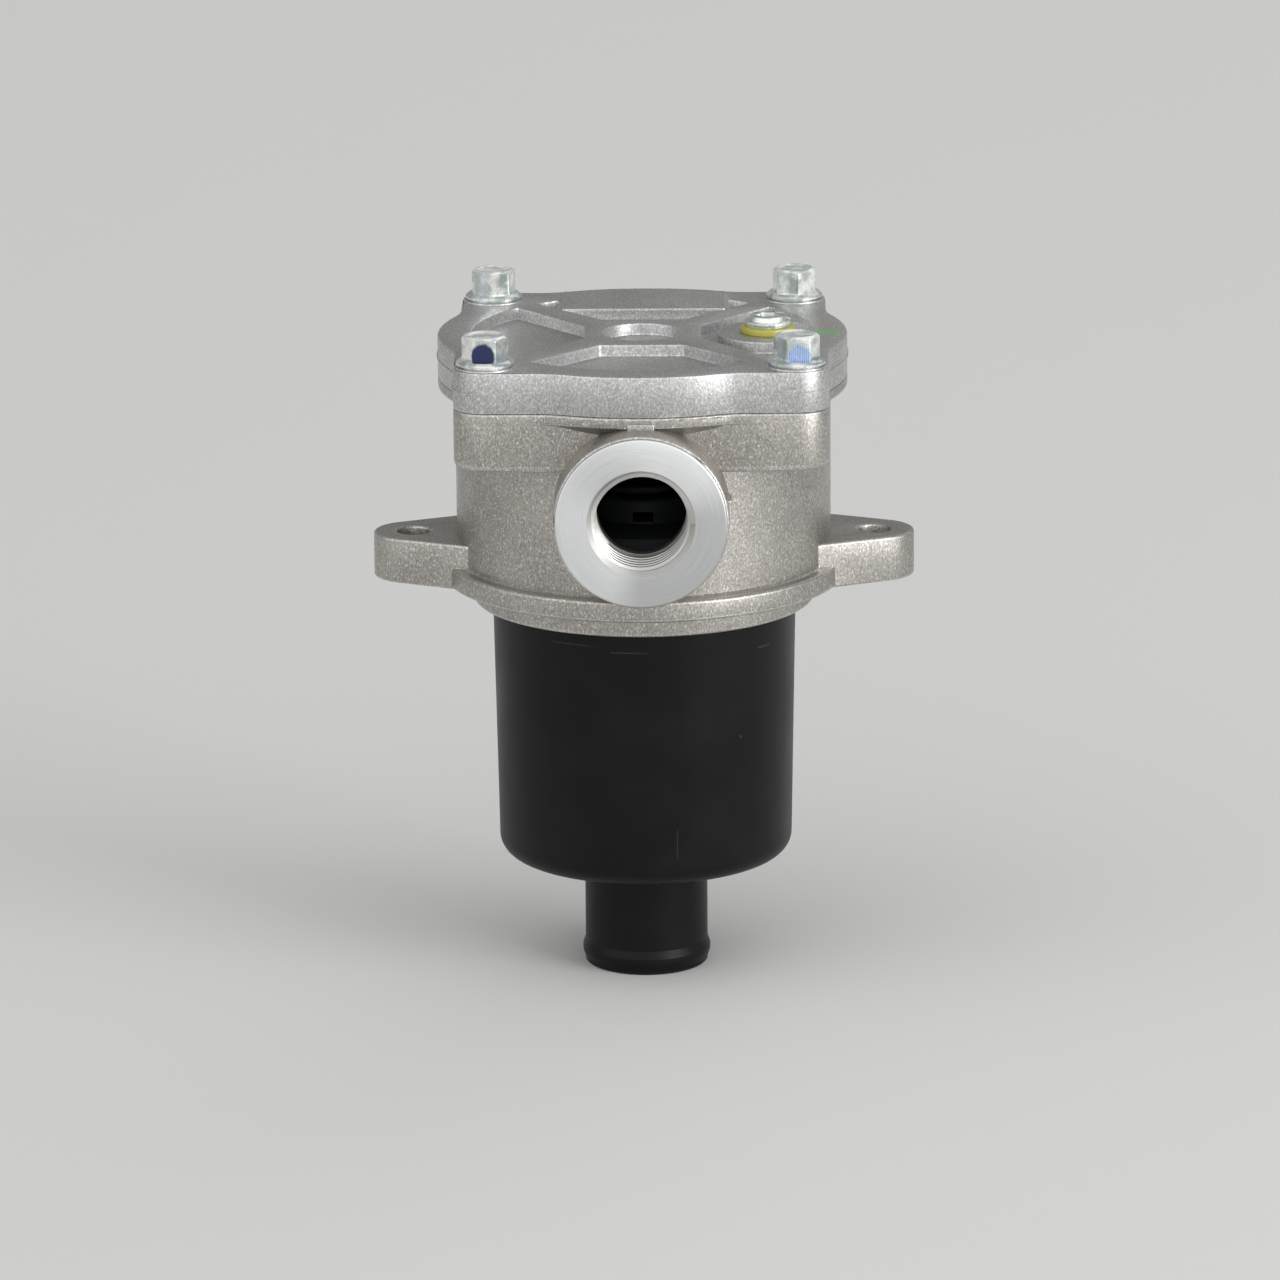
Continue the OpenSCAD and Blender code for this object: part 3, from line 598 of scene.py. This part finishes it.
def cover_skin():
    """The cover's casting with the green paint stripe, a pink smear and a brown scrape."""
    made = casting("cover_skin", (0.53, 0.53, 0.53), (0.46, 0.46, 0.455), facets=0.6)
    tree = made.node_tree
    shader = tree.nodes["Principled BSDF"]
    place = tree.nodes["Texture Coordinate"].outputs["Object"]
    green = (0.34, 0.72, 0.33, 0.9)
    pink = (0.62, 0.46, 0.44, 0.35)
    brown = (0.22, 0.15, 0.09, 0.5)
    bare = shader.inputs["Base Color"].links[0].from_socket
    colour = scratched(tree, place, bare, (
        ((45.6, -1.2, 162.5), (4.3, 2.2, 0.8), green),
        ((45.7, 9.0, 162.5), (2.8, 3.4, 0.6), pink),
        ((-48.4, -8.0, 150.2), (2.0, 9.0, 0.8), brown),
    ))
    wire(tree, colour, shader.inputs["Base Color"])
    return made


def black_bowl():
    """Black moulded plastic, a little uneven in its gloss, with a few pale scratches."""
    pale = (0.05, 0.05, 0.05, 0.5)
    made, tree, shader, place = material("black_bowl")
    patch = add(tree, "ShaderNodeTexNoise", Scale=60.0, Detail=4.0)
    wire(tree, place, patch.inputs["Vector"])
    tone = spread(tree, patch.outputs["Fac"], 0.35, 0.7)
    clean = blend(tree, tone, (0.0022, 0.0022, 0.0025), (0.0040, 0.0040, 0.0043))
    colour = scratched(tree, place, clean, (
        ((-4.0, -37.8, 89.9), (5.2, 3.0, 0.16), pale),
        ((-18.0, -33.0, 91.2), (7.0, 6.0, 0.14), pale),
        ((29.5, -23.0, 87.8), (2.4, 3.0, 0.3), pale),
        ((8.2, -36.5, 40.4), (0.12, 3.0, 3.8), pale),
        ((24.0, -28.5, 66.0), (0.35, 2.0, 0.35), pale),
    ))
    wire(tree, colour, shader.inputs["Base Color"])
    rough = spread(tree, patch.outputs["Fac"], 0.3, 0.7, 0.36, 0.42)
    wire(tree, rough, shader.inputs["Roughness"])
    shader.inputs["Specular IOR Level"].default_value = 0.19
    return made


def zinc():
    """Bright zinc plate, clouded green and blue, frosted on the tops of the bolt heads. Two of
    the heads have an ink mark: solid on the left one, hatched and paler on the right one."""
    made, tree, shader, place = material("zinc")
    green_film = (0.54, 0.61, 0.58)
    bright = (0.93, 0.94, 0.91)
    blue_film = (0.62, 0.69, 0.74)
    cloud = add(tree, "ShaderNodeTexNoise", Scale=330.0, Detail=3.0)
    wire(tree, place, cloud.inputs["Vector"])
    clouded = spread(tree, cloud.outputs["Fac"], 0.38, 0.60)
    tint = blend(tree, clouded, green_film, bright)
    film = add(tree, "ShaderNodeTexNoise", Scale=190.0, Detail=2.0)
    wire(tree, place, film.inputs["Vector"])
    tint = blend(tree, spread(tree, film.outputs["Fac"], 0.56, 0.68), tint, blue_film)
    left = marked(tree, place, (-38.4, -43.0, 166.0), (2.95, 1.2, 3.3), 0.05)
    right = marked(tree, place, (38.6, -43.0, 165.7), (2.9, 1.6, 2.9), 0.10)
    hatch = add(
        tree, "ShaderNodeTexWave", Scale=620.0, Distortion=3.0, Detail=2.0, Detail_Scale=2.0)
    wire(tree, place, hatch.inputs["Vector"])
    hatched = spread(tree, hatch.outputs["Fac"], 0.35, 0.7)
    pale_ink = blend(tree, hatched, (0.32, 0.46, 0.68), (0.10, 0.19, 0.50))
    inked = blend(tree, left, tint, (0.016, 0.022, 0.085))
    inked = blend(tree, maths(tree, "MULTIPLY", right, 0.85), inked, pale_ink)
    wire(tree, inked, shader.inputs["Base Color"])
    metal = spread(tree, maths(tree, "MAXIMUM", left, right), 0.0, 1.0, 0.8, 0.1)
    parts = add(tree, "ShaderNodeSeparateXYZ")
    wire(tree, place, parts.inputs[0])
    frost_z = PAD_Z + 7.1 * MM
    frosted = spread(
        tree, parts.outputs["Z"], frost_z - 0.3 * MM, frost_z + 0.3 * MM, 1.0, 0.4)
    wire(tree, maths(tree, "MULTIPLY", metal, frosted), shader.inputs["Metallic"])
    rough = spread(tree, cloud.outputs["Fac"], 0.3, 0.7, 0.16, 0.30)
    wire(tree, rough, shader.inputs["Roughness"])
    return made


def filter_paper():
    """Cream filter medium with faint fibres."""
    made, tree, shader, place = material("filter_paper")
    fibres = add(tree, "ShaderNodeTexNoise", Scale=900.0, Detail=4.0, Roughness=0.7)
    wire(tree, place, fibres.inputs["Vector"])
    share = spread(tree, fibres.outputs["Fac"], 0.35, 0.65)
    tone = blend(tree, share, (0.62, 0.54, 0.38), (0.74, 0.67, 0.50))
    wire(tree, tone, shader.inputs["Base Color"])
    shader.inputs["Roughness"].default_value = 0.9
    shader.inputs["Specular IOR Level"].default_value = 0.2
    return made


# Camera, light and floor

def photo_camera():
    """The photograph's view: 2 m away, a little above, with a long lens."""
    sensor_width = 36
    photo_width_px = 1280
    focal_length_px = 7978
    place = Vector((22.4, -1934.6, 596.7)) * MM
    aim = Vector((-1.16, 0.0, 83.3)) * MM
    turn = (aim - place).to_track_quat("-Z", "Y")
    roll = Quaternion((0, 0, 1), math.radians(-0.424))
    data = bpy.data.cameras.new("photo_camera")
    data.sensor_width = sensor_width
    data.lens = sensor_width * focal_length_px / photo_width_px
    data.clip_start = 0.05
    data.clip_end = 50
    camera = bpy.data.objects.new("photo_camera", data)
    camera.location = place
    camera.rotation_euler = (turn @ roll).to_euler()
    bpy.context.scene.collection.objects.link(camera)
    bpy.context.scene.camera = camera


def lamp(name, place, target, width, height, power):
    """A white panel of light that faces its target."""
    data = bpy.data.lights.new(name, "AREA")
    data.shape = "RECTANGLE"
    data.size = width
    data.size_y = height
    data.energy = power
    light = bpy.data.objects.new(name, data)
    light.location = place
    light.rotation_euler = (Vector(target) - Vector(place)).to_track_quat("-Z", "Y").to_euler()
    bpy.context.scene.collection.objects.link(light)


def studio():
    """A window behind, one in front on the right and a narrow strip that lights the bowl."""
    middle = (0, 0, 0.1)
    lamp("window_behind", (1.3, 2.5, 2.6), middle, width=2.2, height=2.2, power=8)
    lamp("window_front", (2.15, -1.25, 0.8), middle, width=0.9, height=1.4, power=17)
    lamp("strip_front", (1.04, -1.08, 0.45), (0, 0, 0.08), width=0.16, height=0.9, power=4)


def room_light():
    """The room as the world: bright in front and dim behind, a little darker on the right."""
    world = bpy.data.worlds.new("room")
    bpy.context.scene.world = world
    world.use_nodes = True
    tree = world.node_tree
    parts = add(tree, "ShaderNodeSeparateXYZ")
    wire(tree, add(tree, "ShaderNodeTexCoord").outputs["Generated"], parts.inputs[0])
    to_back = spread(tree, parts.outputs["Y"], -0.6, 0.4)
    colour = blend(tree, to_back, (1.32, 1.32, 1.31), (0.32, 0.32, 0.315))
    wire(tree, colour, tree.nodes["Background"].inputs["Color"])
    to_right = spread(tree, parts.outputs["X"], -0.9, 0.9, 0.96, 0.82)
    wire(tree, to_right, tree.nodes["Background"].inputs["Strength"])


def floor():
    """A pale level floor, just clear of the spigot's mouth."""
    half_width = 12
    gap = 0.05 * MM
    bm = bmesh.new()
    bmesh.ops.create_grid(bm, x_segments=1, y_segments=1, size=half_width)
    piece = put(mesh_from(bm, "floor"), "floor")
    piece.location.z = cad_box[0][2] - gap
    dress(piece, plain("floor_paint", (0.76, 0.76, 0.755), 0.0, roughness=0.9, shine=0.2))


# Castings

def paint_machined(piece, face_index, thread_index):
    """Gives the inlet's turned face and its thread the materials at those indices."""
    inner_r = 13.5 * MM
    outer_r = TURNED_FACE_R + 0.2 * MM
    passage_r = 14.2 * MM
    for face in piece.data.polygons:
        spot = face.center
        far = math.hypot(spot.x, spot.z - INLET_Z)
        if spot.y < INLET_Y + 0.25 * MM and inner_r < far < outer_r:
            face.material_index = face_index
        elif spot.y < INLET_Y + THREAD_LENGTH + 2 * MM and far < passage_r:
            face.material_index = thread_index


def head_edge(edge):
    """The radius of one of the head's edges: most under the corner bosses, small on the other
    outer edges and round the flange's top, none in the inlet's bore and in other corners."""
    near_bore = 15 * MM
    boss_y = -40 * MM

    def in_bore(vert):
        return math.hypot(vert.co.x, vert.co.z - INLET_Z) < near_bore and vert.co.y < boss_y

    def lies_at(level):
        return all(abs(v.co.z - level) < 0.1 * MM for v in edge.verts)

    if any(in_bore(v) for v in edge.verts):
        return 0.0
    if lies_at(CORNER_Z):
        return HEAD_ROUNDING if edge.is_convex else 0.0
    if edge.is_convex or lies_at(FLANGE_Z):
        return HEAD_SMALL_ROUNDING
    return 0.0


def head_casting():
    piece = rounded_copy("head", "head_casting", HEAD_ROUNDING, head_edge, steps=3)
    dress(
        piece,
        casting("head_skin", (0.43, 0.41, 0.38), (0.37, 0.35, 0.325), facets=0.6),
        casting("head_rubbed", (0.54, 0.525, 0.50), (0.46, 0.445, 0.42), facets=0.7),
        turned("machined_face", (0.70, 0.71, 0.715), roughness=0.34),
        turned("cut_thread", (0.62, 0.62, 0.60), roughness=0.42))
    finished(piece)
    paint_machined(piece, 2, 3)
    smooth(piece)
    show(piece, "head")


def cover_casting():
    rubbed = casting("cover_rubbed", (0.60, 0.605, 0.61), (0.52, 0.52, 0.52), facets=0.7)
    rounded_piece("cover", "cover_casting", COVER_ROUNDING, cover_skin(), rubbed)


def inlet_thread():
    """The crests of the inlet's thread, a helical ridge that stands in from the bore's wall and
    rises slowly where it leaves the chamfer."""
    slow_start = 0.6 * MM
    steps = 48
    count = int(steps * THREAD_LENGTH / THREAD_PITCH)
    foot_half = 1.1 * MM
    crest_half = 0.42 * MM
    bm = bmesh.new()
    rings = []
    for i in range(count + 1):
        angle = 2 * math.pi * i / steps
        depth = THREAD_START + THREAD_PITCH * i / steps
        wall = max(BORE_R, CHAMFER_R + slow_start - depth)
        root = wall + 0.3 * MM
        crest = max(THREAD_CREST_R, wall - THREAD_RISE)
        profile = (
            (root, -foot_half), (crest, -crest_half), (crest, crest_half), (root, foot_half))
        rings.append([
            bm.verts.new((
                math.cos(angle) * r, INLET_Y + max(0.02 * MM, depth + shift),
                INLET_Z + math.sin(angle) * r))
            for r, shift in profile])
    for a, b in zip(rings, rings[1:]):
        for j in range(4):
            bm.faces.new((a[j], a[(j + 1) % 4], b[(j + 1) % 4], b[j]))
    bm.faces.new(rings[0])
    bm.faces.new(rings[-1])
    piece = put(mesh_from(bm, "inlet_thread"), "inlet_thread")
    dress(piece, bpy.data.materials["cut_thread"])
    show(piece)


def head_flash():
    """Flash and chips on the head, under the cover and round the flange, with an upright seam
    on the flange's edge and a gate lump beside the inlet boss."""
    bm = bmesh.new()
    rim = spaced(outline_at("head", JOINT_Z - 1.3 * MM), 0.5 * MM)
    upper = JOINT_Z - 0.7 * MM
    lower = JOINT_Z - 2.4 * MM
    low = TANK_Z + 0.75 * MM
    runs = (
        (front_part(rim, -6, 21), upper, chips(0.5 * MM, 0.0016, 1), 0.3 * MM),
        (front_part(rim, -4.6, 3.4), lower, chips(0.8 * MM, 0.0014, 8), 0.35 * MM),
        (around(FLANGE_R, -88, -40), low, chips(0.4 * MM, 0.0022, 5), 0.3 * MM),
        (around(FLANGE_R, -150, -92), low, chips(0.2 * MM, 0.006, 2), 0.25 * MM),
    )
    for points, level, reach, thick in runs:
        ridge(bm, points, level, reach, thick, closed=False)
    lump(bm, (-0.12, -50.2, 101.3), (0.14, -49.4, 105.4))
    lump(bm, (20.0, -57.5, 129.6), (22.0, -50.0, 133.4))
    piece = put(mesh_from(bm, "head_flash"), "head_flash")
    dress(piece, bpy.data.materials["head_rubbed"])
    show(piece)


def cover_flash():
    """The thin line of flash round the cover where its mould parted."""
    parting_z = JOINT_Z + 5.0 * MM
    ragged = chips(0.15 * MM, 0.004, 3)
    bm = bmesh.new()
    edge = spaced(outline_at("cover", parting_z), 0.8 * MM)
    ridge(bm, edge, parting_z, lambda p: 0.2 * MM + ragged(p), 0.24 * MM)
    piece = put(mesh_from(bm, "cover_flash"), "cover_flash")
    dress(piece, bpy.data.materials["cover_rubbed"])
    show(piece)


# Bolts, plug and inner pieces

def bolt_levels(flat, corner_r):
    """A bolt's rings from its seat up, in mm: whether the flats cut it, radius and height."""
    flange_r = 7.1
    flange_h = 1.2
    head_h = 7.6
    bevel = 0.9
    top_r = flat * 0.93
    slope = math.tan(math.radians(32))
    bevel_steps = 6
    levels = [
        (False, flange_r - 0.5, 0.0), (False, flange_r - 0.4, 0.3), (False, flange_r, 0.42),
        (False, flange_r, 0.85), (False, flange_r - 0.3, flange_h),
        (False, 6.15, flange_h + 0.42), (True, corner_r, flange_h + 0.55)]
    for i in range(bevel_steps + 1):
        share = i / bevel_steps
        cone = min(corner_r, top_r + (1 - share) * bevel / slope)
        levels.append((True, cone, head_h - bevel + share * bevel))
    levels.append((False, 4.15, head_h - 0.02))
    levels.append((False, 3.6, head_h - 0.28))
    return levels


def bolt_mesh():
    """One hexagon flange bolt with a dished top, its seat at height nought."""
    flat = 5.0
    corner_r = 5.66
    sides = 96
    bm = bmesh.new()
    rings = []
    for has_flats, radius, z in bolt_levels(flat, corner_r):
        ring = []
        for i in range(sides):
            angle = 2 * math.pi * i / sides
            reach = radius
            if has_flats:
                from_flat = (angle + math.pi / 6) % (math.pi / 3) - math.pi / 6
                reach = min(radius, flat / math.cos(from_flat))
            ring.append(bm.verts.new((
                math.cos(angle) * reach * MM, math.sin(angle) * reach * MM, z * MM)))
        rings.append(ring)
    for a, b in zip(rings, rings[1:]):
        for i in range(sides):
            bm.faces.new((a[i], a[(i + 1) % sides], b[(i + 1) % sides], b[i]))
    bm.faces.new(rings[0])
    bm.faces.new(rings[-1])
    return mesh_from(bm, "bolt")


def bolt_maker():
    """Geometry Nodes: sets a bolt on each point, turned by the point's own angle."""
    tree = bpy.data.node_groups.new("bolt_pattern", "GeometryNodeTree")
    tree.interface.new_socket("Points", in_out="INPUT", socket_type="NodeSocketGeometry")
    tree.interface.new_socket("Bolt", in_out="INPUT", socket_type="NodeSocketObject")
    tree.interface.new_socket("Metal", in_out="INPUT", socket_type="NodeSocketMaterial")
    tree.interface.new_socket("Bolts", in_out="OUTPUT", socket_type="NodeSocketGeometry")
    given = tree.nodes.new("NodeGroupInput")
    out = tree.nodes.new("NodeGroupOutput")
    shape = tree.nodes.new("GeometryNodeObjectInfo")
    turn = add(tree, "GeometryNodeInputNamedAttribute", data_type="FLOAT", Name="turn")
    about = tree.nodes.new("ShaderNodeCombineXYZ")
    copies = tree.nodes.new("GeometryNodeInstanceOnPoints")
    joined = tree.nodes.new("GeometryNodeRealizeInstances")
    metal = tree.nodes.new("GeometryNodeSetMaterial")
    wire(tree, given.outputs["Bolt"], shape.inputs["Object"])
    wire(tree, turn.outputs["Attribute"], about.inputs["Z"])
    wire(tree, given.outputs["Points"], copies.inputs["Points"])
    wire(tree, shape.outputs["Geometry"], copies.inputs["Instance"])
    wire(tree, about.outputs[0], copies.inputs["Rotation"])
    wire(tree, copies.outputs["Instances"], joined.inputs["Geometry"])
    wire(tree, joined.outputs["Geometry"], metal.inputs["Geometry"])
    wire(tree, given.outputs["Metal"], metal.inputs["Material"])
    wire(tree, metal.outputs["Geometry"], out.inputs["Bolts"])
    return tree


def cover_bolts():
    """The four cover bolts, each tightened to its own angle in degrees."""
    corners = ((-1, -1), (1, -1), (1, 1), (-1, 1))
    tightened = (-30.0, -24.0, 10.4, -13.0)
    shape = put(bolt_mesh(), "bolt")
    points = bpy.data.meshes.new("bolt_places")
    points.from_pydata([(x * BOLT_AT, y * BOLT_AT, PAD_Z) for x, y in corners], [], [])
    turn = points.attributes.new("turn", "FLOAT", "POINT")
    turn.data.foreach_set("value", [math.radians(angle) for angle in tightened])
    piece = put(points, "flange_bolts")
    pattern = piece.modifiers.new("pattern", "NODES")
    pattern.node_group = bolt_maker()
    names = {s.name: s.identifier for s in pattern.node_group.interface.items_tree}
    pattern[names["Bolt"]] = shape
    pattern[names["Metal"]] = zinc()
    finished(piece)
    bpy.data.objects.remove(shape)
    smooth(piece, 24)
    show(piece, "cover_bolts")


def gauge_plug():
    """The plug of the gauge port and the yellow washer under it."""
    metal = bpy.data.materials["zinc"]
    rounded_piece("gauge_plug", "socket_plug", 0.18 * MM, metal, metal)
    yellow = plain("yellow_zinc", (0.50, 0.47, 0.10), metallic=0.25, roughness=0.38)
    rounded_piece("plug_washer", "sealing_washer", 0.2 * MM, yellow, yellow)


def repaint(paint, *nodes):
    """Gives CAD nodes that are shown as they are a material."""
    for node in nodes:
        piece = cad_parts[node]
        piece.data.materials.clear()
        dress(piece, paint)


def inner_pieces():
    """The bowl, and what it and the head hold."""
    repaint(black_bowl(), "bowl")
    repaint(
        plain("rubber", (0.008, 0.008, 0.008), 0.0, roughness=0.55, shine=0.3),
        "cover_seal", "bowl_seal", "neck_seal", "poppet_face")
    repaint(
        plain("dark_steel", (0.06, 0.065, 0.07), 0.3, roughness=0.5, shine=0.3),
        "element_top_cap", "element_bottom_cap", "hold_down_spring")
    repaint(
        plain("black_plastic", (0.035, 0.04, 0.042), 0.0, roughness=0.45, shine=0.3),
        "bypass_housing")
    repaint(
        plain("pressed_steel", (0.56, 0.57, 0.58), 1.0, roughness=0.34),
        "element_core", "bypass_cage", "bypass_poppet", "poppet_stem")
    repaint(plain("bright_spring", (0.66, 0.67, 0.68), 1.0, roughness=0.22), "bypass_spring")
    repaint(filter_paper(), "element_media")


photo_camera()
studio()
room_light()
floor()
head_casting()
cover_casting()
inlet_thread()
head_flash()
cover_flash()
cover_bolts()
gauge_plug()
inner_pieces()

bpy.context.scene.view_settings.view_transform = "Standard"
